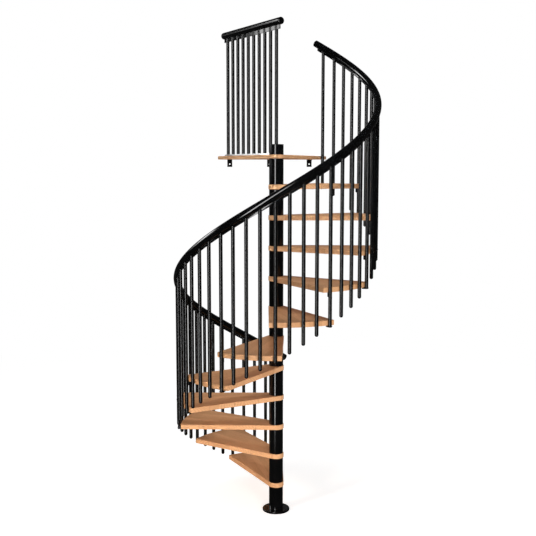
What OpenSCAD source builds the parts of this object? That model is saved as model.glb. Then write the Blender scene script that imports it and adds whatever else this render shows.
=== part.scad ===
// Spiral staircase: timber treads on a steel centre column, with a helical balustrade and a
// triangular landing. Millimetres. The origin is at the centre of the base flange's underside,
// +Z is up, and the landing reaches along +Y to the wall or floor edge that it is bolted to.
// The stair climbs counter-clockwise, seen from above.

/* [Stair] */
// Height from one tread's top to the next one's
riser = 208; // [170:1:250]
// Number of treads below the landing
tread_count = 11; // [9:1:12]
// Turn from one tread to the next, in degrees
step_angle = 30; // [26:0.5:32]
// Direction of the last tread's centre line, in degrees from +X
last_tread_angle = 42; // [38:1:46]

/* [Treads] */
// Radius of the treads' outer edge
tread_r = 664.5; // [550:0.5:800]
// Thickness of a tread
tread_t = 33; // [25:1:40]
// Angle between the two long sides of a tread
tread_spread = 27.8; // [24:0.1:29]
// How far the treads' round hub stands out past the column sleeves
hub_lip = 4.5; // [2:0.5:15]

/* [Column] */
// Outside diameter of the sleeves between the treads
sleeve_d = 98; // [80:1:120]
// Wall of a sleeve
sleeve_wall = 4; // [3:0.5:8]
// Thickness of the ring that closes each end of a sleeve
sleeve_end_t = 6; // [4:1:12]
// Outside diameter of the centre pole
pole_d = 60; // [48:1:70]
// Wall of the centre pole
pole_wall = 4; // [3:0.5:6]
// How far the column stands above the landing
column_top = 70; // [40:1:120]
// Thickness of the column's cap
cap_t = 6; // [4:1:12]

/* [Base flange] */
// Diameter of the base flange
flange_d = 190; // [170:1:240]
// Thickness of the base flange
flange_t = 14; // [10:1:20]
// Diameter of the flange's bolt circle
flange_pcd = 150; // [140:1:160]
// Number of flange bolts
flange_bolts = 4; // [3:1:8]
// Diameter of the flange's bolt holes
flange_hole_d = 12; // [9:0.5:14]

/* [Balustrade] */
// Diameter of a baluster
baluster_d = 24; // [16:1:26]
// Baluster spaces on each tread
balusters_per_tread = 4; // [3:1:5]
// What the last baluster space on a tread has over the others
last_space_extra = 7; // [0:0.5:12]
// How far the free balusters hang below the line through the standing ones' lower ends
free_end_drop = 6.5; // [0:0.5:12]
// Height of the handrail's top above the treads' centres
rail_height = 903; // [850:1:1100]
// Diameter of the handrail
rail_d = 48; // [36:1:54]
// Thickness of the flat bar under the handrail
bar_t = 8; // [5:0.5:10]
// Depth of the flat bar under the handrail, square to the climb
bar_depth = 14; // [12:1:30]
// How far the handrail runs on past its end balusters
rail_overrun = 72; // [50:1:100]
// How far the flat bar runs on past its end balusters
bar_overrun = 46; // [25:1:48]
// Length of a handrail end cap
rail_cap_l = 13; // [5:0.5:18]

/* [Brackets] */
// Width of the foot that holds a baluster under a tread
foot_w = 28; // [26:1:44]
// Thickness of that foot
foot_t = 10; // [8:1:16]
// How far the foot reaches in under the tread from the baluster's centre
foot_reach = 30; // [26:1:60]
// Width of the block that ties a tread's front corner to a baluster
block_w = 14; // [10:1:24]
// Height of that block
block_h = 28; // [20:1:36]
// Depth of that block, along the radius
block_l = 10; // [8:1:24]
// Diameter of the floor plate under the first baluster
floor_plate_d = 60; // [50:1:80]
// Thickness of the floor plate
floor_plate_t = 8; // [6:1:12]

/* [Landing] */
// Distance from the column's centre line to the landing's back edge
landing_l = 700; // [640:1:900]
// Largest angle between the landing's two long sides
landing_spread = 54; // [46:0.5:56]
// Smallest gap between the landing's open side and the stair's last baluster
landing_gap = 9; // [6:0.5:14]
// Thickness of the landing board
landing_t = 25; // [20:1:33]
// Height of the guard's top above the landing
guard_height = 900; // [850:1:1100]
// Number of balusters in the landing's guard
guard_count = 10; // [8:1:12]
// Turn of the guard towards the landing's side, past parallel, in degrees
guard_toe = 2; // [0:0.5:3]
// Gap from the guard's last baluster to the landing's back edge
guard_wall_gap = 98; // [90:1:140]
// How far the guard's rail runs on past its end balusters
guard_overrun = 68; // [60:1:95]
// Depth of the flat bar under the guard's rail
guard_bar_depth = 26; // [18:1:32]
// Width of the flat bar that the guard stands on
guard_base_w = 36; // [30:1:44]
// Thickness of the flat bar that the guard stands on
guard_base_t = 11; // [8:1:14]

/* [Wall brackets] */
// Distance of the middle wall bracket from the landing's centre line, along +X
bracket_shift = -20; // [-60:1:60]
// Distance from one wall bracket to the next
bracket_pitch = 300; // [250:1:320]
// Width of a wall bracket
bracket_w = 37; // [30:1:50]
// Length of a wall bracket's upright leg
bracket_h = 55; // [45:1:80]
// Length of a wall bracket's leg under the landing
bracket_l = 60; // [45:1:90]
// Thickness of a wall bracket
bracket_t = 5; // [4:0.5:8]
// Diameter of a wall bracket's bolt hole
bracket_hole_d = 11; // [9:0.5:13]
// Distance from the landing's underside to the bolt hole's centre
bracket_hole_drop = 34; // [28:1:40]

/* [Hidden] */
$fn = 96;
// Clearance of a baluster's slot on each side of the flat bar
slip = 0.3;
// Gap left where two pieces are drawn up against each other
seat = 0.3;
// Clearance of the sleeves, the treads and the landing round the pole
pole_slip = 0.5;
// Length of the plug that centres the cap in the pole
cap_plug_l = 20;
// Chamfer at the lower end of a baluster that stands on something
foot_chamfer = 1;
// Height of the first step of the rounding at a baluster's lower end
round_step = 1.5;
// Least height of a free baluster's lower end above the floor
floor_gap = 6;
// Gap from the column to the guard's base bar, and what its far end has beyond half its width
base_gap = 4;
// The long sides start this far inside the hub's edge, so that they cross it cleanly
side_sink = 0.1;

first_tread_angle = last_tread_angle + 360 - (tread_count - 1) * step_angle;
hub_r = sleeve_d / 2 + hub_lip;
pole_hole_r = pole_d / 2 + pole_slip;
sleeve_h = riser - tread_t;
landing_bottom = (tread_count + 1) * riser - tread_t;
landing_top = landing_bottom + landing_t;
column_h = landing_top + column_top;

// The balusters stand just outside the treads' outer edge
rail_r = tread_r + seat + baluster_d / 2;
slope = atan(riser / (rail_r * step_angle * PI / 180));
rail_centre_h = rail_height - rail_d / 2;
// Vertical drops from the handrail's centre line to the flat bar and to its lower edge
bar_drop = rail_d / 2 / cos(slope) + seat;
bar_bottom_drop = bar_drop + bar_depth / cos(slope);
baluster_pitch = (step_angle - last_space_extra / rail_r * 180 / PI) / balusters_per_tread;
first_baluster_angle = first_tread_angle - step_angle / 2;
last_baluster_angle = first_baluster_angle + tread_count * step_angle;
// The line of the balusters' lower ends is level with a tread's underside at its back corner
baluster_drop = riser / 2 + tread_t;
slot_w = bar_t + 2 * slip;
rail_overrun_angle = (rail_overrun - rail_cap_l * cos(slope)) / rail_r * 180 / PI;
bar_overrun_angle = bar_overrun / rail_r * 180 / PI;
// Turn between two rings of the handrail and of its flat bar, and sides round the handrail
rail_ring_angle = 5;
bar_ring_angle = 2.5;
rail_sides = 16;

// The landing's sides touch its hub, and its open side keeps clear of the last baluster
open_side_half = 450 - last_baluster_angle - asin((hub_r + landing_gap + baluster_d / 2) / rail_r);
landing_half = min(landing_spread / 2, open_side_half);
guard_angle = 90 + landing_half + guard_toe;
guard_pitch = (landing_l - guard_wall_gap) / sin(guard_angle) / (guard_count - 1);
guard_l = guard_pitch * (guard_count - 1);
guard_rail_z = landing_top + guard_height - rail_d / 2;
guard_bar_drop = rail_d / 2 + seat;

steel = "#1b1b1d";
oak = "#c08a5e";
alloy = "#c9cacc";

function two_digits(k) = k < 10 ? str("0", k) : str(k);
function tread_name(k) = str("tread_", two_digits(k));
function balusters_name(k) = str("balusters_", two_digits(k));

function tread_angle(k) = first_tread_angle + (k - 1) * step_angle;
// Height of the climbing line that touches every tread's top at its centre
function climb_z(a) = riser * (1 + (a - first_tread_angle) / step_angle);
function rail_z(a) = climb_z(a) + rail_centre_h;
function baluster_bottom(a) = climb_z(a) - baluster_drop;

// Angles from a to b in about equal steps of at most d
function angle_steps(a, b, d) = let (n = ceil((b - a) / d)) [for (i = [0 : n]) a + (b - a) * i / n];

// Point of a ring that stands square to the climbing handrail, at x out along the radius and z up
function square_point(a, x, z) = [
    (rail_r + x) * cos(a) + z * sin(slope) * sin(a),
    (rail_r + x) * sin(a) - z * sin(slope) * cos(a),
    rail_z(a) + z * cos(slope)
];
// Point of an upright ring, at x out along the radius and z up
function upright_point(a, x, z) = [(rail_r + x) * cos(a), (rail_r + x) * sin(a), rail_z(a) + z];

// Triangles between rings of n points, with the two end rings as polygons
function sweep_faces(rings, n) = concat(
    [[for (j = [0 : n - 1]) j]],
    [for (i = [0 : rings - 2], j = [0 : n - 1])
        let (a = i * n + j, b = i * n + (j + 1) % n) each [[a, a + n, b], [b, a + n, b + n]]],
    [[for (j = [n - 1 : -1 : 0]) (rings - 1) * n + j]]
);

// Wedge with a round hub: its sides touch the hub and open at the given angle about +Y
module wedge_outline(spread, reach) {
    half = spread / 2;
    side = (hub_r - side_sink) * [cos(half), -sin(half)];
    far = side + reach * [sin(half), cos(half)];
    circle(r = hub_r);
    polygon([side, far, [-far.x, far.y], [-side.x, side.y]]);
}

// --- Column ---

module base_flange() {
    color(steel) difference() {
        cylinder(h = flange_t, d = flange_d);
        for (i = [0 : flange_bolts - 1])
            rotate([0, 0, 360 * (i + 0.5) / flange_bolts])
                translate([flange_pcd / 2, 0, -1]) cylinder(h = flange_t + 2, d = flange_hole_d);
    }
}

module centre_pole() {
    color(steel) translate([0, 0, flange_t]) difference() {
        cylinder(h = column_h - cap_t - flange_t, d = pole_d);
        translate([0, 0, -1]) cylinder(h = column_h, d = pole_d - 2 * pole_wall);
    }
}

// Sleeve of height h: a tube whose ends are closed down to the pole
module sleeve(h) {
    outer = sleeve_d / 2;
    inner = outer - sleeve_wall;
    rotate_extrude() polygon([
        [pole_hole_r, 0], [outer, 0], [outer, h], [pole_hole_r, h],
        [pole_hole_r, h - sleeve_end_t], [inner, h - sleeve_end_t],
        [inner, sleeve_end_t], [pole_hole_r, sleeve_end_t]
    ]);
}

module column_sleeves() {
    color(steel) {
        translate([0, 0, flange_t]) sleeve(sleeve_h - flange_t);
        for (k = [1 : tread_count]) translate([0, 0, k * riser]) sleeve(sleeve_h);
        translate([0, 0, landing_top]) sleeve(column_top - cap_t);
    }
}

module column_cap() {
    color(steel) translate([0, 0, column_h - cap_t]) {
        cylinder(h = cap_t, d = sleeve_d);
        translate([0, 0, -cap_plug_l])
            cylinder(h = cap_plug_l + 1, d = pole_d - 2 * pole_wall - 2 * pole_slip);
    }
}

// --- Treads and landing ---

module tread(k) {
    color(oak) rotate([0, 0, tread_angle(k) - 90]) translate([0, 0, k * riser - tread_t])
        difference() {
            linear_extrude(tread_t) intersection() {
                wedge_outline(tread_spread, 1.5 * tread_r);
                circle(r = tread_r, $fn = 180);
            }
            translate([0, 0, -1]) cylinder(h = tread_t + 2, r = pole_hole_r);
        }
}

module landing_board() {
    color(oak) translate([0, 0, landing_bottom]) difference() {
        linear_extrude(landing_t) intersection() {
            wedge_outline(2 * landing_half, 1.5 * landing_l);
            translate([-landing_l, -hub_r]) square([2 * landing_l, landing_l + hub_r]);
        }
        translate([0, 0, -1]) cylinder(h = landing_t + 2, r = pole_hole_r);
    }
}

// --- Balustrade ---

// Baluster standing on z = bottom, forked over a flat bar whose lower edge is at bar_z; its top
// stops under a rail and is cut at the bar's climb. X is across the bar, and Y along it.
module baluster(bottom, bar_z, bar_h, climb, foot_r) {
    r = baluster_d / 2;
    top = bar_z + bar_h;
    cut = 3 * baluster_d;
    difference() {
        translate([0, 0, bottom]) rotate_extrude($fn = 32) polygon([
            [0, 0], [foot_r, 0], [(foot_r + 2 * r) / 3, round_step], [r, r - foot_r + foot_chamfer],
            [r, top + r - bottom], [0, top + r - bottom]
        ]);
        translate([0, 0, top - seat]) rotate([climb, 0, 0])
            translate([-cut, -cut, 0]) cube([2 * cut, 2 * cut, cut]);
        translate([0, 0, bar_z - seat]) rotate([climb, 0, 0])
            translate([-slot_w / 2, -cut, 0]) cube([slot_w, 2 * cut, cut]);
    }
}

module stair_baluster(a, bottom, foot_r) {
    rotate([0, 0, a]) translate([rail_r, 0, 0])
        baluster(bottom, rail_z(a) - bar_bottom_drop, bar_bottom_drop - bar_drop, slope, foot_r);
}

module first_baluster() {
    color(steel) stair_baluster(first_baluster_angle, floor_plate_t, baluster_d / 2 - foot_chamfer);
}

// The balusters along one tread's outer edge; the last stands on the foot at its back corner
module tread_balusters(k) {
    color(steel) for (j = [1 : balusters_per_tread]) {
        stands = j == balusters_per_tread;
        a = tread_angle(k) + (stands ? step_angle / 2 : j * baluster_pitch - step_angle / 2);
        bottom = stands ? baluster_bottom(a) : max(baluster_bottom(a) - free_end_drop, floor_gap);
        stair_baluster(a, bottom, stands ? baluster_d / 2 - foot_chamfer : baluster_d / 4);
    }
}

// Flat foot under a tread's back corner, rounded about the baluster that stands on it
module baluster_feet() {
    color(steel) for (k = [1 : tread_count])
        rotate([0, 0, tread_angle(k) + step_angle / 2])
            translate([rail_r, 0, k * riser - tread_t - foot_t]) {
                cylinder(h = foot_t, d = foot_w);
                translate([-foot_reach, -foot_w / 2, 0]) cube([foot_reach, foot_w, foot_t]);
            }
}

// Block under a tread's front corner, against the baluster that passes it
module corner_blocks() {
    color(steel) for (k = [1 : tread_count])
        rotate([0, 0, tread_angle(k) - step_angle / 2])
            translate([rail_r - baluster_d / 2 - seat - block_l, -block_w / 2, k * riser - tread_t - block_h])
                cube([block_l, block_w, block_h]);
}

module floor_plate() {
    color(steel) rotate([0, 0, first_baluster_angle]) translate([rail_r, 0, 0])
        cylinder(h = floor_plate_t, d = floor_plate_d);
}

module handrail() {
    angles = angle_steps(first_baluster_angle - rail_overrun_angle,
                         last_baluster_angle + rail_overrun_angle, rail_ring_angle);
    points = [for (a = angles, i = [0 : rail_sides - 1]) let (t = 360 * i / rail_sides)
        square_point(a, rail_d / 2 * cos(t), rail_d / 2 * sin(t))];
    color(steel) polyhedron(points, sweep_faces(len(angles), rail_sides));
}

module handrail_bar() {
    angles = angle_steps(first_baluster_angle - bar_overrun_angle,
                         last_baluster_angle + bar_overrun_angle, bar_ring_angle);
    section = [[-bar_t / 2, -bar_bottom_drop], [bar_t / 2, -bar_bottom_drop],
               [bar_t / 2, -bar_drop], [-bar_t / 2, -bar_drop]];
    points = [for (a = angles, p = section) upright_point(a, p.x, p.y)];
    color(steel) polyhedron(points, sweep_faces(len(angles), len(section)));
}

// Low dome that closes a rail's end and points along +Z
module rail_cap() {
    dome = [for (t = [0 : 15 : 90]) [rail_d / 2 * cos(t), rail_cap_l * sin(t)]];
    rotate_extrude($fn = 48) polygon(concat([[0, 0]], dome));
}

module handrail_caps() {
    low = first_baluster_angle - rail_overrun_angle;
    high = last_baluster_angle + rail_overrun_angle;
    color(steel) {
        translate(square_point(low, 0, 0)) rotate([0, 0, low]) rotate([90 + slope, 0, 0]) rail_cap();
        translate(square_point(high, 0, 0)) rotate([0, 0, high]) rotate([slope - 90, 0, 0]) rail_cap();
    }
}

// --- Landing guard ---

// Places its children in the guard's frame: Y runs from the column towards the landing's back
module at_guard() {
    rotate([0, 0, guard_angle - 90]) children();
}

module guard_rail() {
    l = guard_l + 2 * (guard_overrun - rail_cap_l);
    color(steel) at_guard() translate([0, rail_cap_l - guard_overrun, guard_rail_z])
        rotate([-90, 0, 0]) cylinder(h = l, d = rail_d);
}

module guard_bar() {
    color(steel) at_guard()
        translate([-bar_t / 2, -bar_overrun, guard_rail_z - guard_bar_drop - guard_bar_depth])
            cube([bar_t, guard_l + 2 * bar_overrun, guard_bar_depth]);
}

module guard_caps() {
    color(steel) at_guard() {
        translate([0, rail_cap_l - guard_overrun, guard_rail_z]) rotate([90, 0, 0]) rail_cap();
        translate([0, guard_l + guard_overrun - rail_cap_l, guard_rail_z]) rotate([-90, 0, 0]) rail_cap();
    }
}

// The first one stands on the column's cap, and the rest on the flat base bar
module guard_balusters() {
    bar_z = guard_rail_z - guard_bar_drop - guard_bar_depth;
    color(steel) at_guard() for (i = [0 : guard_count - 1]) {
        bottom = i == 0 ? column_h : landing_top + guard_base_t;
        translate([0, i * guard_pitch, 0])
            baluster(bottom, bar_z, guard_bar_depth, 0, baluster_d / 2 - foot_chamfer);
    }
}

module guard_base() {
    start = sleeve_d / 2 + base_gap;
    color(alloy) at_guard() translate([-guard_base_w / 2, start, landing_top])
        cube([guard_base_w, guard_l + guard_base_w / 2 + base_gap - start, guard_base_t]);
}

module wall_brackets() {
    color(steel) for (i = [-1 : 1])
        translate([bracket_shift + i * bracket_pitch, landing_l, landing_bottom]) difference() {
            translate([-bracket_w / 2, 0, 0]) rotate([90, 0, 90]) linear_extrude(bracket_w) polygon([
                [0, 0], [0, -bracket_h], [-bracket_t, -bracket_h], [-bracket_t, -bracket_t],
                [-bracket_l, -bracket_t], [-bracket_l, 0]
            ]);
            translate([0, 1, -bracket_hole_drop]) rotate([90, 0, 0])
                cylinder(h = bracket_t + 2, d = bracket_hole_d);
        }
}

base_flange();
centre_pole();
column_sleeves();
column_cap();
for (k = [1 : tread_count]) tread(k);
landing_board();
baluster_feet();
corner_blocks();
floor_plate();
first_baluster();
for (k = [1 : tread_count]) tread_balusters(k);
handrail();
handrail_bar();
handrail_caps();
guard_rail();
guard_bar();
guard_caps();
guard_balusters();
guard_base();
wall_brackets();
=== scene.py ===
import math

import bmesh
import bpy
import numpy as np
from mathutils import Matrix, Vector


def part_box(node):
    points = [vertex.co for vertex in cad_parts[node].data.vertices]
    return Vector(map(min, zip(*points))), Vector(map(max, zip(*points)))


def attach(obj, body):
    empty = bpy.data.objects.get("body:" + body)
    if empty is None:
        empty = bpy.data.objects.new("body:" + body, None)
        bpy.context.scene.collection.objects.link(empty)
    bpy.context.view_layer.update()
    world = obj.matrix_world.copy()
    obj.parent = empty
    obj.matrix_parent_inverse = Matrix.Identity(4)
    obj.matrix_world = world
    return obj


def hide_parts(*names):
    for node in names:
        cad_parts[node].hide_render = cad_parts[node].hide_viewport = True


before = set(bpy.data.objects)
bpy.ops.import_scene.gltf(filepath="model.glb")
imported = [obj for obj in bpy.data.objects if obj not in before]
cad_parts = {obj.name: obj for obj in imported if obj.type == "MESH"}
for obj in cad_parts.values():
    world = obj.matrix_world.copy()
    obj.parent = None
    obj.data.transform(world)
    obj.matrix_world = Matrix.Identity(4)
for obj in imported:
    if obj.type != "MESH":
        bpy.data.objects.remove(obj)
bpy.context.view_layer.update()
print("frame loaded:", len(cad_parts), "nodes")

# Reading the frame

# how near an extreme a vertex counts as on it, in metres, and the turn between two balusters, in radians
reading = {"cornerBand": 0.0005, "crestBand": 0.0002, "balusterGap": 0.03}


def cadPoints(node):
    # every vertex of a CAD node, one row of x, y, z each
    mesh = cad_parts[node].data
    flat = np.empty(len(mesh.vertices) * 3)
    mesh.vertices.foreach_get("co", flat)
    return flat.reshape(-1, 3)


def distances(points):
    # how far each point stands from the column's centre line
    return np.hypot(points[:, 0], points[:, 1])


def turnsFrom(points, start):
    # direction of each point round the column in radians, counted up from start
    turns = np.arctan2(points[:, 1], points[:, 0])
    return start + (turns - start) % (2 * math.pi)


def wedgeShape(points, reach):
    # middle direction of a board whose far corners lie at the distance reach, its hub's radius, and the
    # half angle between its long sides: corner's angle - asin(hub / reach)
    rough = math.atan2(points[:, 1].mean(), points[:, 0].mean())
    far = points[distances(points) > reach - reading["cornerBand"]]
    turns = turnsFrom(far, rough - math.pi)
    middle = (turns.min() + turns.max()) / 2
    facing = points[:, :2] @ np.array([math.cos(middle), math.sin(middle)])
    hub = distances(points)[facing < 0].max()
    half = (turns.max() - turns.min()) / 2 - math.asin(hub / reach)
    return middle, hub, half


treadNames = sorted(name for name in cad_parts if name.startswith("tread_"))
treadClouds = [cadPoints(name) for name in treadNames]
treadLows = np.array([cloud[:, 2].min() for cloud in treadClouds])
treadTops = np.array([cloud[:, 2].max() for cloud in treadClouds])
treadReach = distances(treadClouds[0]).max()
treadShapes = [wedgeShape(cloud, treadReach) for cloud in treadClouds]
treadTurns = np.unwrap([shape[0] for shape in treadShapes])
stepRise = (treadTops[-1] - treadTops[0]) / (len(treadNames) - 1)
stepTurn = (treadTurns[-1] - treadTurns[0]) / (len(treadNames) - 1)


def climb(turn):
    # height of the line that touches every tread's top at its middle
    return treadTops[0] + stepRise * (turn - treadTurns[0]) / stepTurn


def standingTurns(node, start):
    # direction and lower end of each baluster of a node; balusters are told apart by gaps in turn
    points = cadPoints(node)
    turns = turnsFrom(points, start)
    order = np.argsort(turns)
    breaks = np.flatnonzero(np.diff(turns[order]) > reading["balusterGap"]) + 1
    groups = np.split(order, breaks)
    return [((turns[group].min() + turns[group].max()) / 2, points[group, 2].min()) for group in groups]


railCloud = cadPoints("handrail")
railRadius = (distances(railCloud).min() + distances(railCloud).max()) / 2
openingTurn = treadTurns[0] - stepTurn
railCrest = railCloud[distances(railCloud) > distances(railCloud).max() - reading["crestBand"]]
railTurns = turnsFrom(railCrest, openingTurn)
railRise = (railCrest[:, 2] - climb(railTurns)).mean()
slope = math.atan(stepRise / (railRadius * stepTurn))

barCloud = cadPoints("handrail_bar")
barTurns = turnsFrom(barCloud, openingTurn)
barDrops = barCloud[:, 2] - climb(barTurns)

guardMiddle = cadPoints("guard_base").mean(axis=0)
guardTurn = math.atan2(guardMiddle[1], guardMiddle[0])


def guardSpan(node):
    # nearest and farthest distance of a guard piece from the column, along the guard
    along = cadPoints(node)[:, :2] @ np.array([math.cos(guardTurn), math.sin(guardTurn)])
    return along.min(), along.max()


# Shells: each one is an array of points and a list of faces

# points along an eased edge and a small corner, the flat band that keeps a face's shading flat, the
# least distance between two points of an outline, and where an axis counts as upright
detail = {"edgeSteps": 5, "cornerSteps": 4, "firm": 0.0008, "apart": 1e-7, "steep": 0.9}


def gridQuads(rows, columns, closedRows):
    # quad (i, j) joins (i, j), (i, j + 1), (i + 1, j + 1) and (i + 1, j); columns always close
    i = np.arange(rows if closedRows else rows - 1)[:, None]
    j = np.arange(columns)[None, :]
    above = (i + 1) % rows
    beside = (j + 1) % columns
    corners = [i * columns + j, i * columns + beside, above * columns + beside, above * columns + j]
    return np.stack(corners, axis=-1).reshape(-1, 4)


def outward(points, quads, faces):
    # turns every face round if the shell's volume, the sum of a . (b x c) over its triangles, is negative
    a, b, c, d = (points[quads[:, k]] - points[0] for k in range(4))
    volume = (a * np.cross(b, c)).sum() + (a * np.cross(c, d)).sum()
    for face in faces[len(quads):]:
        fan = points[face] - points[0]
        volume += (fan[0] * np.cross(fan[1:-1], fan[2:]).sum(axis=0)).sum()
    if volume < 0:
        faces = [face[::-1] for face in faces]
    return points, faces


def cappedShell(rings):
    # rings[i, j] joined ring to ring, with a flat face over the first and the last ring
    rows, columns = rings.shape[:2]
    quads = gridQuads(rows, columns, False)
    faces = quads.tolist()
    faces.append(list(range(columns - 1, -1, -1)))
    faces.append(list(range((rows - 1) * columns, rows * columns)))
    return outward(rings.reshape(-1, 3), quads, faces)


def hollowShell(rings):
    # rings[i, j] joined ring to ring, and the last ring to the first
    rows, columns = rings.shape[:2]
    quads = gridQuads(rows, columns, True)
    return outward(rings.reshape(-1, 3), quads, quads.tolist())


def moved(shell, turn=0.0, shift=(0.0, 0.0, 0.0)):
    # the shell shifted, then turned about the column's centre line
    points, faces = shell
    x, y, z = (points + np.array(shift)).T
    turned = [x * math.cos(turn) - y * math.sin(turn), x * math.sin(turn) + y * math.cos(turn), z]
    return np.stack(turned, axis=1), faces


def aimed(shell, start, axis):
    # the shell with its z axis laid along axis and its origin at start
    points, faces = shell
    ahead = np.array(axis) / np.linalg.norm(axis)
    level = abs(ahead[2]) < detail["steep"]
    helper = np.array([0.0, 0.0, 1.0]) if level else np.array([1.0, 0.0, 0.0])
    side = np.cross(helper, ahead)
    side /= np.linalg.norm(side)
    lift = np.cross(ahead, side)
    return np.array(start) + points @ np.stack([side, lift, ahead]), faces


def turnedShell(radii, heights, sides, hexRows=()):
    # radius(i) * (cos t, sin t) at height(i); rows in hexRows are six-sided:
    # radius * cos 30 / cos(t folded to within 30 degrees)
    t = np.linspace(0, 2 * math.pi, sides, endpoint=False)
    rows = np.tile(np.array(radii)[:, None], (1, sides))
    fold = (t + math.pi / 6) % (math.pi / 3) - math.pi / 6
    for row in hexRows:
        rows[row] *= math.cos(math.pi / 6) / np.cos(fold)
    levels = np.tile(np.array(heights)[:, None], (1, sides))
    return cappedShell(np.stack([rows * np.cos(t), rows * np.sin(t), levels], axis=-1))


def roundOutline(arcs, pieces):
    # arcs (x, y, radius, from, to, points) as centre + radius * (cos t, sin t), joined by straight
    # lines of the given pieces; returns the points and their outward directions
    spots = []
    outs = []
    for x, y, radius, start, end, count in arcs:
        t = np.linspace(math.radians(start), math.radians(end), count)
        out = np.stack([np.cos(t), np.sin(t)], axis=1)
        spots.append(np.array([x, y]) + radius * out)
        outs.append(out)
    share = np.arange(1, pieces)[:, None] / pieces
    allSpots = []
    allOuts = []
    for k, spot in enumerate(spots):
        following = spots[(k + 1) % len(spots)][0]
        line = spot[-1] + (following - spot[-1]) * share
        allSpots += [spot, line]
        allOuts += [outs[k], np.repeat(outs[k][-1:], len(line), axis=0)]
    spots = np.concatenate(allSpots)
    outs = np.concatenate(allOuts)
    apart = np.linalg.norm(spots - np.roll(spots, 1, axis=0), axis=1) > detail["apart"]
    return spots[apart], outs[apart]


def easedEdge(ease, firm):
    # pulled in by ease * (1 - sin t) and lifted by ease * (1 - cos t), with a short flat at each end
    t = np.linspace(0, math.pi / 2, detail["edgeSteps"])
    pulls = np.concatenate([[ease + firm], ease * (1 - np.sin(t)), [0.0]])
    return pulls, np.concatenate([[0.0], ease * (1 - np.cos(t)), [ease + firm]])


def slabShell(outline, low, high, ease, hole=0.0, firm=detail["firm"], highEase=None):
    # the outline between two heights with its edges rounded; a hole about the origin is optional
    spots, outs = outline
    pulls, lifts = easedEdge(ease, firm)
    highPulls, highLifts = easedEdge(highEase or ease, firm)
    pulls = np.concatenate([pulls, highPulls[::-1]])
    levels = np.concatenate([low + lifts, high - highLifts[::-1]])
    flat = spots[None] - outs[None] * pulls[:, None, None]
    rings = np.dstack([flat, np.broadcast_to(levels[:, None], flat.shape[:2])])
    if not hole:
        return cappedShell(rings)
    rim = hole * spots / np.linalg.norm(spots, axis=1)[:, None]
    inner = [np.column_stack([rim, np.full(len(rim), level)]) for level in (high, low)]
    return hollowShell(np.concatenate([rings, inner]))


def rectangle(left, right, front, back, corner, pieces=1):
    # outline of a rectangle with rounded corners
    steps = detail["cornerSteps"]
    return roundOutline([
        (right - corner, back - corner, corner, 0, 90, steps),
        (left + corner, back - corner, corner, 90, 180, steps),
        (left + corner, front + corner, corner, 180, 270, steps),
        (right - corner, front + corner, corner, 270, 360, steps),
    ], pieces)


def roundedRim(radius, top, bend, steps, firm):
    # radius - bend + bend * cos t at top - bend + bend * sin t, then a flat band inwards at the top
    t = np.linspace(0, math.pi / 2, steps)
    radii = [*(radius - bend + bend * np.cos(t)), radius - bend - firm]
    return radii, [*(top - bend + bend * np.sin(t)), top]


def discShell(radius, low, top, sides, bevel, bend, steps, firm):
    # a round disc with a small bevel below and a rounded rim above
    radii, heights = roundedRim(radius, top, bend, steps, firm)
    return turnedShell([radius - bevel, radius, *radii], [low, low + bevel, *heights], sides)


# Shader maths

def addNode(tree, kind, settings, inputs):
    # a node whose settings come first and whose sockets then get values or links
    made = tree.nodes.new(kind)
    for key, value in settings.items():
        setattr(made, key, value)
    for key, value in inputs.items():
        if isinstance(value, Wire):
            tree.links.new(value.socket, made.inputs[key])
        else:
            made.inputs[key].default_value = value
    return made


class Wire:
    # one output of a node; arithmetic on it adds Math nodes
    def __init__(self, tree, socket):
        self.tree = tree
        self.socket = socket

    def node(self, kind, settings, inputs, output=0):
        made = addNode(self.tree, kind, settings, inputs)
        return Wire(self.tree, made.outputs[output])

    def maths(self, operation, *values):
        return self.node("ShaderNodeMath", {"operation": operation}, dict(enumerate(values)))

    def __add__(self, other):
        return self.maths("ADD", self, other)

    def __radd__(self, other):
        return self.maths("ADD", other, self)

    def __sub__(self, other):
        return self.maths("SUBTRACT", self, other)

    def __rsub__(self, other):
        return self.maths("SUBTRACT", other, self)

    def __mul__(self, other):
        return self.maths("MULTIPLY", self, other)

    def __rmul__(self, other):
        return self.maths("MULTIPLY", other, self)

    def __truediv__(self, other):
        return self.maths("DIVIDE", self, other)

    def __rtruediv__(self, other):
        return self.maths("DIVIDE", other, self)

    def floor(self):
        return self.maths("FLOOR", self)

    def fraction(self):
        return self.maths("FRACT", self)

    def sine(self):
        return self.maths("SINE", self)

    def root(self):
        return self.maths("SQRT", self)

    def lower(self, other):
        return self.maths("MINIMUM", self, other)

    def higher(self, other):
        return self.maths("MAXIMUM", self, other)

    def between(self, start, end):
        # 0 at start, 1 at end, with a soft rise
        settings = {"interpolation_type": "SMOOTHSTEP"}
        return self.node("ShaderNodeMapRange", settings, {"Value": self, "From Min": start, "From Max": end})

    def vector(self, x, y, z):
        return self.node("ShaderNodeCombineXYZ", {}, {0: x, 1: y, 2: z})

    def split(self):
        made = addNode(self.tree, "ShaderNodeSeparateXYZ", {}, {0: self})
        return [Wire(self.tree, socket) for socket in made.outputs]

    def plus(self, other):
        return self.node("ShaderNodeVectorMath", {"operation": "ADD"}, {0: self, 1: other})

    def times(self, other):
        return self.node("ShaderNodeVectorMath", {"operation": "MULTIPLY"}, {0: self, 1: other})

    def noise(self, scale, octaves=2.0, roughness=0.5):
        inputs = {"Vector": self, "Scale": scale, "Detail": octaves, "Roughness": roughness}
        return self.node("ShaderNodeTexNoise", {}, inputs)

    def blend(self, first, second):
        # colour between first and second, by this value
        settings = {"data_type": "RGBA"}
        return self.node("ShaderNodeMix", settings, {0: self, 6: first, 7: second}, output=2)

    def bump(self, strength, depth):
        return self.node("ShaderNodeBump", {}, {"Height": self, "Strength": strength, "Distance": depth})


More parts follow.
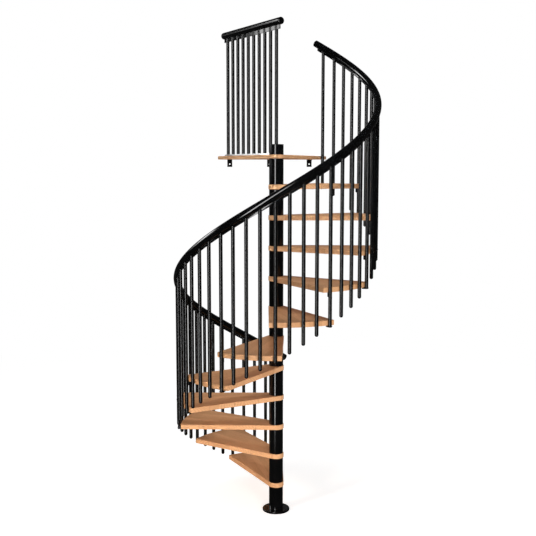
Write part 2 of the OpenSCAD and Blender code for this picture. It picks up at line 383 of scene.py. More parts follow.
def newMaterial(name, constants):
    # a Principled material and the place where its patterns start; constants go on its own sockets
    material = bpy.data.materials.new(name)
    material.use_nodes = True
    tree = material.node_tree
    shader = tree.nodes["Principled BSDF"]
    for key, value in constants.items():
        shader.inputs[key].default_value = value
    coordinates = addNode(tree, "ShaderNodeTexCoord", {}, {})
    return material, shader, Wire(tree, coordinates.outputs["Object"])


def feed(shader, links):
    # links each wire to the shader's socket of that name
    for key, wire in links.items():
        wire.tree.links.new(wire.socket, shader.inputs[key])


oakFinish = {
    "light": (0.78, 0.425, 0.212, 1.0),
    "dark": (0.54, 0.262, 0.117, 1.0),
    "deep": (0.34, 0.145, 0.058, 1.0),
    "gloss": 0.16,
    "roughness": 0.52,
    "staveWidth": 0.044,
    "staveLength": 0.36,
    "stagger": 7.3,
    "logShift": (3.1, 5.7, 2.3),
    "ringPitch": 0.0052,
    "ringTilt": 1.6,
    "ringSway": 9.0,
    "ringShift": 6.0,
    "swayScale": (9.0, 1.1, 9.0),
    "fibreScale": (420.0, 7.0, 420.0),
    "poreScale": (1500.0, 45.0, 1500.0),
    "cloudScale": (22.0, 2.2, 22.0),
    "poreEdge": (0.58, 0.72),
    "ringShare": 0.30,
    "fibreShare": 0.34,
    "cloudShare": 0.36,
    "staveShare": 0.30,
    "grainEdge": (0.18, 0.95),
    "sideSeam": 0.018,
    "endSeam": 0.0025,
    "poreDark": 0.45,
    "seamDark": 0.5,
    "poreRough": 0.16,
    "fibreRough": 0.10,
    "fibreRelief": 0.3,
    "poreRelief": 0.7,
    "seamRelief": 0.8,
    "relief": 0.35,
    "reliefDepth": 0.00025,
}


def oakMaterial(finish):
    # staves of oak glued side by side: tone by stave, growth rings, fibres and pores along the board
    material, shader, place = newMaterial("oiledOak", {"Specular IOR Level": finish["gloss"]})
    board = place.node("ShaderNodeAttribute", {"attribute_name": "board"}, {}, output=1)
    across, along, height = board.split()
    staves = across / finish["staveWidth"]
    staveChance = place.node("ShaderNodeTexWhiteNoise", {"noise_dimensions": "1D"}, {"W": staves.floor()})
    row = along / finish["staveLength"] + staveChance * finish["stagger"]
    piece = place.vector(staves.floor(), row.floor(), 0.0)
    chance = place.node("ShaderNodeTexWhiteNoise", {"noise_dimensions": "2D"}, {"Vector": piece}, output=1)
    tone, tilt, shift = chance.split()
    moving = board.plus(chance.times(finish["logShift"]))
    sway = moving.times(finish["swayScale"]).noise(1.0, 2.0)
    tilted = across + height * (tilt - 0.5) * finish["ringTilt"]
    phase = tilted / finish["ringPitch"] + sway * finish["ringSway"] + shift * finish["ringShift"]
    ring = (phase * (2 * math.pi)).sine() * 0.5 + 0.5
    lateWood = ring * ring
    fibre = moving.times(finish["fibreScale"]).noise(1.0, 3.0, 0.6)
    pore = moving.times(finish["poreScale"]).noise(1.0, 1.0).between(*finish["poreEdge"])
    cloud = moving.times(finish["cloudScale"]).noise(1.0, 3.0)
    grain = lateWood * finish["ringShare"] + fibre * finish["fibreShare"] + cloud * finish["cloudShare"]
    grain = grain + (tone - 0.5) * finish["staveShare"]
    aside = staves.fraction()
    width = finish["sideSeam"]
    sideSeam = 1 - aside.between(0.0, width).lower((1 - aside).between(0.0, width))
    endSeam = 1 - row.fraction().between(0.0, finish["endSeam"])
    seam = sideSeam.higher(endSeam)
    wood = grain.between(*finish["grainEdge"]).blend(finish["light"], finish["dark"])
    wood = (pore * finish["poreDark"]).blend(wood, finish["deep"])
    wood = (seam * finish["seamDark"]).blend(wood, finish["deep"])
    middling = finish["roughness"] - finish["fibreRough"] / 2
    rough = pore * finish["poreRough"] + fibre * finish["fibreRough"] + middling
    relief = fibre * finish["fibreRelief"] - pore * finish["poreRelief"] - seam * finish["seamRelief"]
    relief = relief.bump(finish["relief"], finish["reliefDepth"])
    feed(shader, {"Base Color": wood, "Roughness": rough, "Normal": relief})
    return material


paintFinish = {
    "tone": 0.0018,
    "dust": 0.0030,
    "blue": 1.08,
    "gloss": 0.35,
    "roughness": 0.12,
    "smudgeScale": 9.0,
    "smudgeShare": 0.7,
    "smudgeRough": 0.03,
    "speckScale": 260.0,
    "speckShare": 0.3,
    "speckRough": 0.01,
    "dustEdge": (0.35, 0.75),
    "peel": 520.0,
    "peelStrength": 0.008,
    "peelDepth": 0.00002,
}


def paintMaterial(name, finish):
    # gloss paint with a faint orange peel, its sheen broken by soft smudges
    material, shader, place = newMaterial(name, {"Specular IOR Level": finish["gloss"]})
    smudge = place.noise(finish["smudgeScale"], 3.0)
    speck = place.noise(finish["speckScale"], 2.0)
    dark, pale = ((finish[key], finish[key], finish[key] * finish["blue"], 1.0) for key in ("tone", "dust"))
    dust = smudge * finish["smudgeShare"] + speck * finish["speckShare"]
    paint = dust.between(*finish["dustEdge"]).blend(dark, pale)
    middling = finish["roughness"] - (finish["smudgeRough"] + finish["speckRough"]) / 2
    rough = smudge * finish["smudgeRough"] + speck * finish["speckRough"] + middling
    peel = place.noise(finish["peel"], 1.0).bump(finish["peelStrength"], finish["peelDepth"])
    feed(shader, {"Base Color": paint, "Roughness": rough, "Normal": peel})
    return material


alloyFinish = {
    "pale": (0.80, 0.80, 0.80, 1.0),
    "grey": (0.58, 0.585, 0.59, 1.0),
    "metal": 0.85,
    "roughness": 0.30,
    "brushScale": (2400.0, 12.0, 2400.0),
    "brushShare": 0.6,
    "cloudScale": (30.0, 9.0, 30.0),
    "cloudShare": 0.4,
    "greyEdge": (0.3, 0.7),
    "brushRough": 0.16,
    "brushStrength": 0.12,
    "brushDepth": 0.0001,
}


def alloyMaterial(finish):
    # satin alloy brushed along the bar
    material, shader, place = newMaterial("brushedAlloy", {"Metallic": finish["metal"]})
    board = place.node("ShaderNodeAttribute", {"attribute_name": "board"}, {}, output=1)
    brush = board.times(finish["brushScale"]).noise(1.0, 2.0)
    cloud = board.times(finish["cloudScale"]).noise(1.0, 2.0)
    tarnish = brush * finish["brushShare"] + cloud * finish["cloudShare"]
    metal = tarnish.between(*finish["greyEdge"]).blend(finish["pale"], finish["grey"])
    rough = brush * finish["brushRough"] + (finish["roughness"] - finish["brushRough"] / 2)
    relief = brush.bump(finish["brushStrength"], finish["brushDepth"])
    feed(shader, {"Base Color": metal, "Roughness": rough, "Normal": relief})
    return material


oak = oakMaterial(oakFinish)
paint = paintMaterial("glossPaint", paintFinish)
tubePaint = paintMaterial("tubeGloss", {**paintFinish, "gloss": 0.33, "roughness": 0.25, "peel": 90.0})
railPaint = paintMaterial("railGloss", {**paintFinish, "tone": 0.0016, "roughness": 0.10, "peel": 300.0})
screwBlack = paintMaterial("screwBlack", {**paintFinish, "dust": 0.014, "roughness": 0.28, "peel": 900.0})
alloy = alloyMaterial(alloyFinish)
print("materials made")

# the angle past which an edge looks sharp, and the seed and range of each board's place in the wood
shading = {"sharpAngle": 38, "seed": 11, "logRange": 2.0}
shades = np.random.default_rng(shading["seed"])


def placePiece(name, mesh, replaced):
    # an object at the origin, on the frame's one body, that stands in for the nodes it replaces
    piece = bpy.data.objects.new(name, mesh)
    bpy.context.scene.collection.objects.link(piece)
    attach(piece, "root")
    if replaced:
        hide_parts(*replaced)
    return piece


def makePiece(name, shells, material, replaced=(), boards=None):
    # one mesh from several shells; boards holds a place in the wood for every point
    counts = np.cumsum([0] + [len(points) for points, faces in shells])
    points = np.concatenate([points for points, faces in shells])
    faces = [[corner + start for corner in face]
             for start, (cloud, shellFaces) in zip(counts.tolist(), shells) for face in shellFaces]
    mesh = bpy.data.meshes.new(name)
    mesh.from_pydata(points.tolist(), [], faces)
    mesh.polygons.foreach_set("use_smooth", np.ones(len(faces), dtype=bool))
    mesh.set_sharp_from_angle(angle=math.radians(shading["sharpAngle"]))
    if boards is not None:
        attribute = mesh.attributes.new("board", "FLOAT_VECTOR", "POINT")
        attribute.data.foreach_set("vector", np.concatenate(boards).astype(np.float32).ravel())
    mesh.materials.append(material)
    placePiece(name, mesh, replaced)


def logPlace(points, low):
    # a place in the wood for every point: the point above the board's lower face, moved at random
    return points - np.array([0, 0, low]) + shades.uniform(-shading["logRange"], shading["logRange"], 3)


# Treads and landing

treadBoard = {
    "ease": 0.0035,
    "corner": 0.004,
    "hole": 0.0305,
    "hubSteps": 33,
    "rimSteps": 29,
    "cornerSteps": 5,
    "sideSteps": 8,
}


def treadOutline(hub, half, reach, board):
    # hub circle, two sides that touch it, and the outer circle, with small rounded corners
    corner = board["corner"]
    steps = board["cornerSteps"]
    lean = math.degrees(half)
    aside = lean + math.degrees(math.asin((hub - corner) / (reach - corner)))
    x = (reach - corner) * math.sin(math.radians(aside))
    y = (reach - corner) * math.cos(math.radians(aside))
    return roundOutline([
        (0, 0, hub, 180 + lean, 360 - lean, board["hubSteps"]),
        (x, y, corner, -lean, 90 - aside, steps),
        (0, 0, reach, 90 - aside, 90 + aside, board["rimSteps"]),
        (-x, y, corner, 90 + aside, 180 + lean, steps),
    ], board["sideSteps"])


for k, name in enumerate(treadNames):
    middle, hub, half = treadShapes[k]
    outline = treadOutline(hub, half, treadReach, treadBoard)
    shell = slabShell(outline, treadLows[k], treadTops[k], treadBoard["ease"], treadBoard["hole"])
    grain = logPlace(shell[0], treadLows[k])
    makePiece(f"oakTread{k + 1:02d}", [moved(shell, middle - math.pi / 2)], oak, [name], [grain])
print("treads made")

landingBoard = {
    "ease": 0.0035,
    "corner": 0.005,
    "hole": 0.0305,
    "hubSteps": 33,
    "cornerSteps": 6,
    "sideSteps": 12,
}


def landingOutline(hub, half, back, board):
    # hub circle, two sides that touch it, and a straight back edge
    corner = board["corner"]
    steps = board["cornerSteps"]
    lean = math.degrees(half)
    y = back - corner
    x = ((hub - corner) + y * math.sin(half)) / math.cos(half)
    return roundOutline([
        (0, 0, hub, 180 + lean, 360 - lean, board["hubSteps"]),
        (x, y, corner, -lean, 90, steps),
        (-x, y, corner, 90, 180 + lean, steps),
    ], board["sideSteps"])


landingCloud = cadPoints("landing_board")
landingHub, landingHalf = wedgeShape(landingCloud, distances(landingCloud).max())[1:]
landingLow = landingCloud[:, 2].min()
landingTop = landingCloud[:, 2].max()
outline = landingOutline(landingHub, landingHalf, landingCloud[:, 1].max(), landingBoard)
shell = slabShell(outline, landingLow, landingTop, landingBoard["ease"], landingBoard["hole"])
grain = logPlace(shell[0], landingLow)[:, [1, 0, 2]]
makePiece("oakLanding", [shell], oak, ["landing_board"], [grain])
print("landing made")

# Column

column = {
    "sides": 72,
    "poleRadius": 0.0304,
    "chamfer": 0.0008,
    "firm": 0.001,
    "roundSteps": 6,
    "capBevel": 0.0006,
    "capRound": 0.0015,
    "flangeSides": 96,
    "flangeBevel": 0.0012,
    "flangeDraft": 0.0008,
    "flangeRound": 0.004,
    "weld": 0.004,
}

sleeveRadius = distances(cadPoints("column_sleeves")).max()
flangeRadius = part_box("base_flange")[1][0]
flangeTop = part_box("base_flange")[1][2]
capTop = cadPoints("column_cap")[:, 2].max()
capLow = cadPoints("column_sleeves")[:, 2].max()


def sleeveShell(low, high):
    # a tube closed down to the pole at both ends, with its outer edges chamfered
    edge = column["chamfer"]
    near = sleeveRadius - edge
    radii = [column["poleRadius"], near, sleeveRadius, sleeveRadius, sleeveRadius, sleeveRadius, near,
             column["poleRadius"]]
    heights = [low, low, low + edge, low + 2 * edge, high - 2 * edge, high - edge, high, high]
    t = np.linspace(0, 2 * math.pi, column["sides"], endpoint=False)
    circle = np.stack([np.cos(t), np.sin(t)], axis=-1)
    rings = [np.column_stack([circle * r, np.full(len(t), z)]) for r, z in zip(radii, heights)]
    return hollowShell(np.stack(rings))


starts = [flangeTop, *treadTops, landingTop]
ends = [*treadLows, landingLow, capLow]
makePiece("columnSleeves", [sleeveShell(low, high) for low, high in zip(starts, ends)],
          paint, ["column_sleeves"])


def flangeShell(radius, top):
    # a bevelled foot, a rounded rim, and a weld that hollows up to the sleeve:
    # sleeve + weld * (1 - sin t) at top + weld * (1 - cos t)
    weld = column["weld"]
    near = radius - column["flangeDraft"]
    rim, rimHeights = roundedRim(radius, top, column["flangeRound"], column["roundSteps"], column["firm"])
    t = np.linspace(0, math.pi / 2, column["roundSteps"])
    radii = [near - column["flangeBevel"], near, *rim, sleeveRadius + weld + column["firm"],
             *(sleeveRadius + weld * (1 - np.sin(t))), sleeveRadius - 2 * column["firm"]]
    heights = [0.0, column["flangeBevel"], *rimHeights, top, *(top + weld * (1 - np.cos(t))), top + weld]
    return turnedShell(radii, heights, column["flangeSides"])


makePiece("footFlange", [flangeShell(flangeRadius, flangeTop)], paint, ["base_flange"])
shell = discShell(sleeveRadius, capLow, capTop, column["sides"], column["capBevel"], column["capRound"],
                  column["roundSteps"], column["firm"])
makePiece("columnLid", [shell], paint, ["column_cap"])

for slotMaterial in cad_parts["centre_pole"].material_slots:
    slotMaterial.material = paint
print("column made")

# Balusters

baluster = {
    "sides": 28,
    "domeHeight": 0.0115,
    "domeStart": 12,
    "domeSteps": 6,
    "plugSeam": 0.0135,
    "seamWidth": 0.001,
    "seamDepth": 0.0005,
    "slot": 0.0086,
    "prongSteps": 15,
    "gap": 0.0003,
    "firm": 0.001,
}

balusterRadius = np.ptp(distances(cadPoints("first_baluster"))) / 2


def balusterShells(low, barLow, barHigh, lean, standing):
    # a tube from low up to the flat bar, x across the bar and y along it, and two prongs beside the
    # bar whose ends follow z + y * tan(lean)
    radius = balusterRadius
    t = np.linspace(0, 2 * math.pi, baluster["sides"], endpoint=False)
    if standing:
        radii = [radius - baluster["firm"], radius, radius]
        levels = baluster["firm"] * np.arange(3)
    else:
        dome = np.linspace(math.radians(baluster["domeStart"]), math.pi / 2, baluster["domeSteps"])
        seam = baluster["plugSeam"] + baluster["seamWidth"] * np.array([0, 0.2, 0.8, 1, 2])
        inner = radius - baluster["seamDepth"]
        radii = [*(radius * np.sin(dome)), radius, inner, inner, radius, radius]
        levels = [*(baluster["domeHeight"] * (1 - np.cos(dome))), *seam]
    radii = np.array([*radii, radius])[:, None]
    x = radii * np.cos(t)
    y = radii * np.sin(t)
    z = low + np.array([*levels, 0.0])[:, None] + 0 * x
    z[-1] = barLow - baluster["gap"] + y[-1] * math.tan(lean)
    shells = [cappedShell(np.stack([x, y, z], axis=-1))]
    reach = math.acos(baluster["slot"] / 2 / radius)
    t = np.linspace(-reach, reach, baluster["prongSteps"])
    x = radius * np.cos(t)
    y = radius * np.sin(t)
    for side in (1, -1):
        ends = [level - baluster["gap"] + side * y * math.tan(lean) for level in (barLow, barHigh)]
        rings = [np.column_stack([side * x, side * y, end]) for end in ends]
        shells.append(cappedShell(np.stack(rings)))
    return shells


firstTurn = treadTurns[0] - stepTurn / 2
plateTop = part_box("floor_plate")[1][2]


def stairBaluster(turn, low, standing):
    # a baluster's shells, on the rail's circle at turn, from low up to the flat bar
    level = climb(turn)
    shells = balusterShells(low, level + barDrops.min(), level + barDrops.max(), slope, standing)
    return [moved(shell, turn, (railRadius, 0, 0)) for shell in shells]


makePiece("startBaluster", stairBaluster(firstTurn, plateTop, True), tubePaint,
          ["first_baluster"])
balusterRuns = []
for k, middle in enumerate(treadTurns):
    node = f"balusters_{k + 1:02d}"
    run = standingTurns(node, middle - stepTurn / 2)
    shells = []
    for turn, low in run:
        shells += stairBaluster(turn, low, turn == run[-1][0])
    makePiece(f"balusterRun{k + 1:02d}", shells, tubePaint, [node])
    balusterRuns.append(run)
print("balusters made")

# Feet, corner blocks and floor plate

foot = {
    "halfWidth": 0.014,
    "reach": 0.030,
    "corner": 0.004,
    "roundSteps": 19,
    "cornerSteps": 6,
    "sideSteps": 2,
    "ease": 0.0065,
    "highEase": 0.0006,
}
block = {"halfWidth": 0.007, "depth": 0.010, "gap": 0.0003, "corner": 0.0015, "ease": 0.0008}
plate = {"sides": 56, "bevel": 0.0005, "ease": 0.0015, "roundSteps": 5, "firm": 0.001, "screwSpread": 0.021}

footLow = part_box("baluster_feet")[0][2] - treadLows[0]
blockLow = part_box("corner_blocks")[0][2] - treadLows[0]
cornerAlong = foot["corner"] - foot["reach"]
cornerAside = foot["halfWidth"] - foot["corner"]
footOutline = roundOutline([
    (0, 0, foot["halfWidth"], -90, 90, foot["roundSteps"]),
    (cornerAlong, cornerAside, foot["corner"], 90, 180, foot["cornerSteps"]),
    (cornerAlong, -cornerAside, foot["corner"], 180, 270, foot["cornerSteps"]),
], foot["sideSteps"])
blockBack = -balusterRadius - block["gap"]
blockOutline = rectangle(blockBack - block["depth"], blockBack, -block["halfWidth"], block["halfWidth"],
                         block["corner"])
footShells = []
blockShells = []
for low, turn in zip(treadLows, treadTurns):
    shell = slabShell(footOutline, low + footLow, low, foot["ease"], highEase=foot["highEase"])
    footShells.append(moved(shell, turn + stepTurn / 2, (railRadius, 0, 0)))
    shell = slabShell(blockOutline, low + blockLow, low, block["ease"])
    blockShells.append(moved(shell, turn - stepTurn / 2, (railRadius, 0, 0)))
makePiece("balusterFeet", footShells, paint, ["baluster_feet"])
makePiece("cornerBlocks", blockShells, paint, ["corner_blocks"])

plateRadius = distances(cadPoints("floor_plate")).max() - railRadius
shell = discShell(plateRadius, 0.0, plateTop, plate["sides"], plate["bevel"], plate["ease"],
                  plate["roundSteps"], plate["firm"])
makePiece("floorPlate", [moved(shell, firstTurn, (railRadius, 0, 0))], paint, ["floor_plate"])
print("feet, blocks and floor plate made")

# Handrail

handrail = {
    "radius": 0.024,
    "sides": 32,
    "ringTurn": 1.25,
    "capLength": 0.013,
    "capSeam": 0.0005,
    "capSink": 0.001,
    "capSides": 40,
    "capSteps": 11,
    "capEnd": 86,
}
flatBar = {"thickness": 0.008, "corner": 0.0010}


def turnSteps(start, end):
    # directions from start to end, at most ringTurn degrees apart
    count = math.ceil(math.degrees(end - start) / handrail["ringTurn"])
    return np.linspace(start, end, count + 1)[:, None]


def squareRings(turns, x, z):
    # rings square to the climb: (railRadius + x) out along the radius, z * cos(slope) up and
    # z * sin(slope) back along the circle
    level = climb(turns) + railRise
    back = z * math.sin(slope)
    return np.stack([
        (railRadius + x) * np.cos(turns) + back * np.sin(turns),
        (railRadius + x) * np.sin(turns) - back * np.cos(turns),
        level + z * math.cos(slope),
    ], axis=-1)


def capShell(radius, length, seam):
    # a low dome: radius * cos t at length * sin t, behind a fine seam
    t = np.linspace(0, math.radians(handrail["capEnd"]), handrail["capSteps"])
    radii = [radius - seam, radius - seam, *(radius * np.cos(t))]
    heights = [-handrail["capSink"], seam, *(2 * seam + (length - 2 * seam) * np.sin(t))]
    return turnedShell(radii, heights, handrail["capSides"])


t = np.linspace(0, 2 * math.pi, handrail["sides"], endpoint=False)
turns = turnSteps(railTurns.min(), railTurns.max())
tube = cappedShell(squareRings(turns, handrail["radius"] * np.cos(t), handrail["radius"] * np.sin(t)))
makePiece("handrailTube", [tube], railPaint, ["handrail"])

railCap = capShell(handrail["radius"], handrail["capLength"], handrail["capSeam"])
caps = []
for turn, ahead in ((railTurns.min(), -1), (railTurns.max(), 1)):
    axis = np.array([-math.sin(turn) * math.cos(slope), math.cos(turn) * math.cos(slope), math.sin(slope)])
    start = [railRadius * math.cos(turn), railRadius * math.sin(turn), climb(turn) + railRise]
    caps.append(aimed(railCap, start, ahead * axis))
makePiece("handrailEnds", caps, railPaint, ["handrail_caps"])

halfBar = flatBar["thickness"] / 2
barSection = rectangle(-halfBar, halfBar, barDrops.min(), barDrops.max(), flatBar["corner"])[0]
turns = turnSteps(barTurns.min(), barTurns.max())
out = railRadius + barSection[:, 0]
rings = np.stack([out * np.cos(turns), out * np.sin(turns), climb(turns) + barSection[:, 1]], axis=-1)
makePiece("handrailBar", [cappedShell(rings)], paint, ["handrail_bar"])
print("handrail made")

# Landing guard

guard = {
    "count": 10,
    "tubeFirm": 0.001,
    "barEase": 0.0008,
    "barFirm": 0.0004,
    "baseEase": 0.0012,
    "baseFirm": 0.0005,
    "baseCorner": 0.002,
    "basePieces": 4,
}

guardAxis = np.array([math.cos(guardTurn), math.sin(guardTurn), 0.0])
guardNear, guardFar = guardSpan("guard_balusters")
guardNear += balusterRadius
guardFar -= balusterRadius
railNear, railFar = guardSpan("guard_rail")
railLow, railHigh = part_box("guard_rail")
guardRailLevel = (railLow[2] + railHigh[2]) / 2
barLow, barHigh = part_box("guard_bar")
baseLow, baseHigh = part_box("guard_base")

length = railFar - railNear
firm = guard["tubeFirm"]
tube = turnedShell([handrail["radius"]] * 4, [0.0, firm, length - firm, length], handrail["capSides"])
makePiece("guardTube", [aimed(tube, railNear * guardAxis + [0, 0, guardRailLevel], guardAxis)],
          railPaint, ["guard_rail"])

caps = []
for place, ahead in ((railNear, -1), (railFar, 1)):
    caps.append(aimed(railCap, place * guardAxis + [0, 0, guardRailLevel], ahead * guardAxis))
makePiece("guardEnds", caps, railPaint, ["guard_caps"])

barStart, barEnd = guardSpan("guard_bar")
outline = rectangle(barStart, barEnd, -halfBar, halfBar, guard["barEase"])
shell = slabShell(outline, barLow[2], barHigh[2], guard["barEase"], firm=guard["barFirm"])
makePiece("guardBar", [moved(shell, guardTurn)], paint, ["guard_bar"])

shells = []
places = np.linspace(guardNear, guardFar, guard["count"])
for k, place in enumerate(places):
    low = capTop if k == 0 else baseHigh[2]
    for shell in balusterShells(low, barLow[2], barHigh[2], 0.0, True):
        points, faces = shell
        points = points[:, [1, 0, 2]] * np.array([1, -1, 1])
        shells.append(moved((points, faces), guardTurn, (place, 0, 0)))
makePiece("guardBalusters", shells, tubePaint, ["guard_balusters"])

baseCloud = cadPoints("guard_base")
baseAside = baseCloud[:, :2] @ np.array([-math.sin(guardTurn), math.cos(guardTurn)])
baseStart, baseEnd = guardSpan("guard_base")
outline = rectangle(baseStart, baseEnd, baseAside.min(), baseAside.max(), guard["baseCorner"],
                    guard["basePieces"])
shell = slabShell(outline, baseLow[2], baseHigh[2], guard["baseEase"], firm=guard["baseFirm"])
makePiece("guardBase", [moved(shell, guardTurn)], alloy, ["guard_base"],
          [shell[0][:, [1, 0, 2]]])
print("guard made")

# Wall brackets

bracket = {"bevel": 0.0009, "segments": 2, "bevelAngle": 40, "flatAngle": 2, "merge": 0.00001}

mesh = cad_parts["wall_brackets"].data.copy()
mesh.name = "wallBrackets"
work = bmesh.new()
work.from_mesh(mesh)
bmesh.ops.remove_doubles(work, verts=work.verts, dist=bracket["merge"])
flat = math.radians(bracket["flatAngle"])
bmesh.ops.dissolve_limit(work, angle_limit=flat, verts=work.verts, edges=work.edges)
work.to_mesh(mesh)
work.free()
mesh.materials.clear()
mesh.materials.append(paint)
mesh.polygons.foreach_set("use_smooth", np.zeros(len(mesh.polygons), dtype=bool))
wallBrackets = placePiece("wallBrackets", mesh, ["wall_brackets"])
bevel = wallBrackets.modifiers.new("edges", "BEVEL")
bevel.width = bracket["bevel"]
bevel.segments = bracket["segments"]
bevel.limit_method = "ANGLE"
bevel.angle_limit = math.radians(bracket["bevelAngle"])
print("brackets made")

# Screws

screw = {
    "radius": 0.0048,
    "height": 0.0026,
    "smallRadius": 0.0036,
    "smallHeight": 0.0018,
    "sides": 18,
    "domeSteps": 4,
    "domeEnd": 62,
    "sink": 0.001,
    "key": 0.42,
    "keyRim": 1.16,
    "keyCorner": 1.155,
    "keyFoot": 1.1,
    "keyDrop": 0.0001,
    "keyFloor": 0.3,
    "crown": 0.98,
    "footInward": 0.0185,
    "seat": 0.0004,
}


def screwShell(radius, height):
    # a button head: radius * cos t at height * sin t, with a six-sided recess in its crown
    steps = screw["domeSteps"]
    t = np.linspace(0, math.radians(screw["domeEnd"]), steps)
    key = screw["key"] * radius
    crown = radius * math.cos(t[-1])
    radii = [radius, *(radius * np.cos(t)), max(key * screw["keyRim"], crown * screw["crown"]),
             key * screw["keyCorner"], key * screw["keyFoot"]]
    rim = height * math.sin(t[-1])
    heights = [-screw["sink"], *(height * np.sin(t)), rim, rim - screw["keyDrop"], rim * screw["keyFloor"]]
    return turnedShell(radii, heights, screw["sides"], hexRows=(steps + 2, steps + 3))


def ringOut(turn, away, level):
    # the point at a distance from the column's centre line, in the direction turn
    return [away * math.cos(turn), away * math.sin(turn), level]


screws = []
button = screwShell(screw["radius"], screw["height"])
smallButton = screwShell(screw["smallRadius"], screw["smallHeight"])
treadDepth = treadTops[0] - treadLows[0]
for low, turn, run in zip(treadLows, treadTurns, balusterRuns):
    for side, bottom in run[:-1]:
        spot = ringOut(side, railRadius + balusterRadius - screw["seat"], low + treadDepth / 2)
        screws.append(aimed(button, spot, ringOut(side, 1.0, 0.0)))
    back = turn + stepTurn / 2
    spot = ringOut(back, railRadius - screw["footInward"], low + footLow)
    screws.append(aimed(smallButton, spot, (0, 0, -1)))
    front = turn - stepTurn / 2
    spot = ringOut(front, railRadius + blockBack - block["depth"] / 2, low + blockLow)
    screws.append(aimed(smallButton, spot, (0, 0, -1)))
for side in (-1, 1):
    aside = math.asin(plate["screwSpread"] / railRadius)
    spot = ringOut(firstTurn + side * aside, railRadius, plateTop)
    screws.append(aimed(button, spot, (0, 0, 1)))
makePiece("buttonScrews", screws, screwBlack)

anchor = {"count": 4, "circle": 0.075, "radius": 0.0095, "height": 0.004}
anchors = []
for k in range(anchor["count"]):
    turn = 2 * math.pi * (k + 0.5) / anchor["count"]
    spot = ringOut(turn, anchor["circle"], flangeTop)
    anchors.append(aimed(screwShell(anchor["radius"], anchor["height"]), spot, (0, 0, 1)))
makePiece("flangeAnchors", anchors, screwBlack)
print("screws made")

# Studio: pale floor, soft light, white surroundings

floorLook = {"half": 14.0, "tone": 0.80, "roughness": 0.9, "glow": 0.62, "plainEdge": (2.5, 6.0)}

surroundings = {
    "fill": 0.34,
    "dim": 0.03,
    "backGlow": 0.4,
    "backEdge": (0.90, 0.99),
    "panelGlow": 14.0,
    "panelLeft": (0.3, 0.5),
    "panelSlant": 2.5,
    "panelNear": (2.2, 2.4),
    "panelFar": (3.8, 4.6),
    "panelFoot": (0.0, 0.08),
    "panelFootShare": 0.25,
    "panelBright": (0.17, 0.22),
    "panelTop": (0.38, 0.46),
    "wallGlow": 2.8,
    "wallLeft": (0.82, 0.88),
    "wallFront": (-0.15, -0.09),
    "wallFoot": (0.02, 0.05),
    "wallTop": (0.2, 0.3),
}


def studioWorld(look):
    # white for the camera and a plain fill for matt surfaces; reflections see a dark room with a dim wall
    # at the back, a bright panel whose edge leans over at the back left, and a soft low wall at the left
    world = bpy.data.worlds.new("studio")
    bpy.context.scene.world = world
    world.use_nodes = True
    tree = world.node_tree
    background = tree.nodes["Background"]
    light = addNode(tree, "ShaderNodeLightPath", {}, {})
    camera, glossy, clear = (Wire(tree, light.outputs[name])
                             for name in ("Is Camera Ray", "Is Glossy Ray", "Is Transmission Ray"))
    coordinates = addNode(tree, "ShaderNodeTexCoord", {}, {})
    x, y, z = Wire(tree, coordinates.outputs["Generated"]).split()
    left = 0 - x
    back = y.between(*look["backEdge"]) * look["backGlow"]
    slant = left / y
    near = (slant + z * look["panelSlant"]).between(*look["panelNear"])
    panel = left.between(*look["panelLeft"]) * near * (1 - slant.between(*look["panelFar"]))
    footShare = look["panelFootShare"]
    panel = panel * (z.between(*look["panelFoot"]) * footShare
                     + z.between(*look["panelBright"]) * (1 - footShare))
    panel = panel * (1 - z.between(*look["panelTop"])) * look["panelGlow"]
    wall = left.between(*look["wallLeft"]) * y.between(*look["wallFront"])
    wall = wall * z.between(*look["wallFoot"]) * (1 - z.between(*look["wallTop"])) * look["wallGlow"]
    shown = camera.higher(clear)
    mirrored = glossy * (back + panel + wall + look["dim"])
    level = shown + mirrored + (1 - shown.higher(glossy)) * look["fill"]
    tree.links.new(level.socket, background.inputs["Strength"])
    background.inputs["Color"].default_value = (1.0, 1.0, 1.0, 1.0)


def floorPaint(look):
    # plain pale floor that keeps shadows and turns white for the camera
    material, shader, place = newMaterial("floorPaint", {
        "Roughness": look["roughness"],
        "Specular IOR Level": 0.0,
        "Base Color": (look["tone"], look["tone"], look["tone"], 1.0),
        "Emission Color": (1.0, 1.0, 1.0, 1.0),
    })
    tree = material.node_tree
    x, y, z = place.split()
    far = (x * x + y * y).root().between(*look["plainEdge"])
    light = addNode(tree, "ShaderNodeLightPath", {}, {})
    seen = Wire(tree, light.outputs["Is Camera Ray"]).higher(Wire(tree, light.outputs["Is Glossy Ray"]))
    feed(shader, {"Emission Strength": seen * look["glow"]})
    plain = place.node("ShaderNodeEmission", {}, {"Strength": seen})
    finish = Wire(tree, shader.outputs[0])
    mix = place.node("ShaderNodeMixShader", {}, {0: far * seen, 1: finish, 2: plain})
    tree.links.new(mix.socket, tree.nodes["Material Output"].inputs["Surface"])
    return material


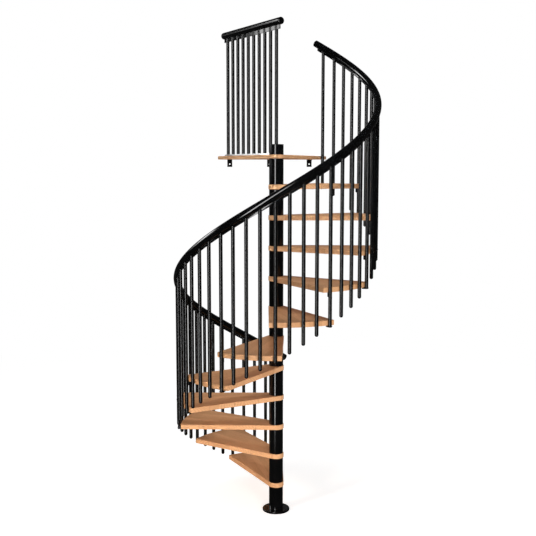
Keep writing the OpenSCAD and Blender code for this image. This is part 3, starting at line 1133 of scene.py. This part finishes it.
lamps = {
    "key": {
        "power": 17.0,
        "size": (1.4, 1.2),
        "place": (1.2, -3.6, 0.9),
        "target": (0.0, 0.0, 0.5),
        "spread": 80,
    },
    "front": {
        "power": 72.0,
        "size": (3.0, 4.0),
        "place": (0.6, -7.0, 2.6),
        "target": (0.0, 0.0, 1.5),
    },
    "side": {
        "power": 4.2,
        "size": (0.9, 0.9),
        "place": (-3.9, -3.1, 2.2),
        "target": (-0.1, 0.3, 0.3),
        "spread": 30,
        "colour": (1.0, 0.86, 0.72),
    },
    "high": {
        "power": 5.0,
        "size": (0.8, 0.8),
        "place": (-0.8, -5.6, 3.4),
        "target": (0.42, 0.55, 2.50),
        "spread": 18,
        "colour": (0.78, 0.92, 1.0),
    },
    "strip": {
        "power": 540.0,
        "size": (1.2, 9.0),
        "place": (-1.92, -5.14, 3.5),
        "target": (0.0, 0.0, 3.5),
        "mirrored": True,
    },
    "top": {
        "power": 400.0,
        "size": (3.6, 3.6),
        "place": (-0.8, -1.4, 14.0),
        "target": (0.0, 0.0, 1.5),
    },
}


def addLamp(name, power, size, place, target, spread=180, colour=(1.0, 1.0, 1.0), mirrored=False):
    # a rectangle of light at place that faces target: a mirrored one shows in reflections only, and any
    # other lights matt surfaces only
    light = bpy.data.lights.new(name, "AREA")
    light.shape = "RECTANGLE"
    light.size, light.size_y = size
    light.energy = power
    light.spread = math.radians(spread)
    light.color = colour
    holder = bpy.data.objects.new(name, light)
    holder.location = place
    x, y, z = np.array(target) - np.array(place)
    holder.rotation_euler = (math.atan2(math.hypot(x, y), -z), 0.0, math.atan2(y, x) - math.pi / 2)
    holder.visible_camera = False
    holder.visible_glossy = mirrored
    holder.visible_diffuse = not mirrored
    bpy.context.scene.collection.objects.link(holder)


studioWorld(surroundings)
half = floorLook["half"]
corners = [(-half, -half, 0), (half, -half, 0), (half, half, 0), (-half, half, 0)]
floorMesh = bpy.data.meshes.new("floor")
floorMesh.from_pydata(corners, [], [(0, 1, 2, 3)])
floorMesh.materials.append(floorPaint(floorLook))
floor = bpy.data.objects.new("floor", floorMesh)
floor.visible_glossy = False
bpy.context.scene.collection.objects.link(floor)
for name, settings in lamps.items():
    addLamp(name, **settings)

view = {"place": (-0.26757, -5.91269, 2.39125), "down": 6.49, "turn": 2.046, "lens": 58.37, "sensor": 36.0}
lens = bpy.data.cameras.new("camera")
lens.lens = view["lens"]
lens.sensor_width = view["sensor"]
camera = bpy.data.objects.new("camera", lens)
camera.location = view["place"]
camera.rotation_euler = (math.radians(90 - view["down"]), 0.0, math.radians(-view["turn"]))
bpy.context.scene.collection.objects.link(camera)
bpy.context.scene.camera = camera
bpy.context.scene.view_settings.view_transform = "Standard"
print("studio made")
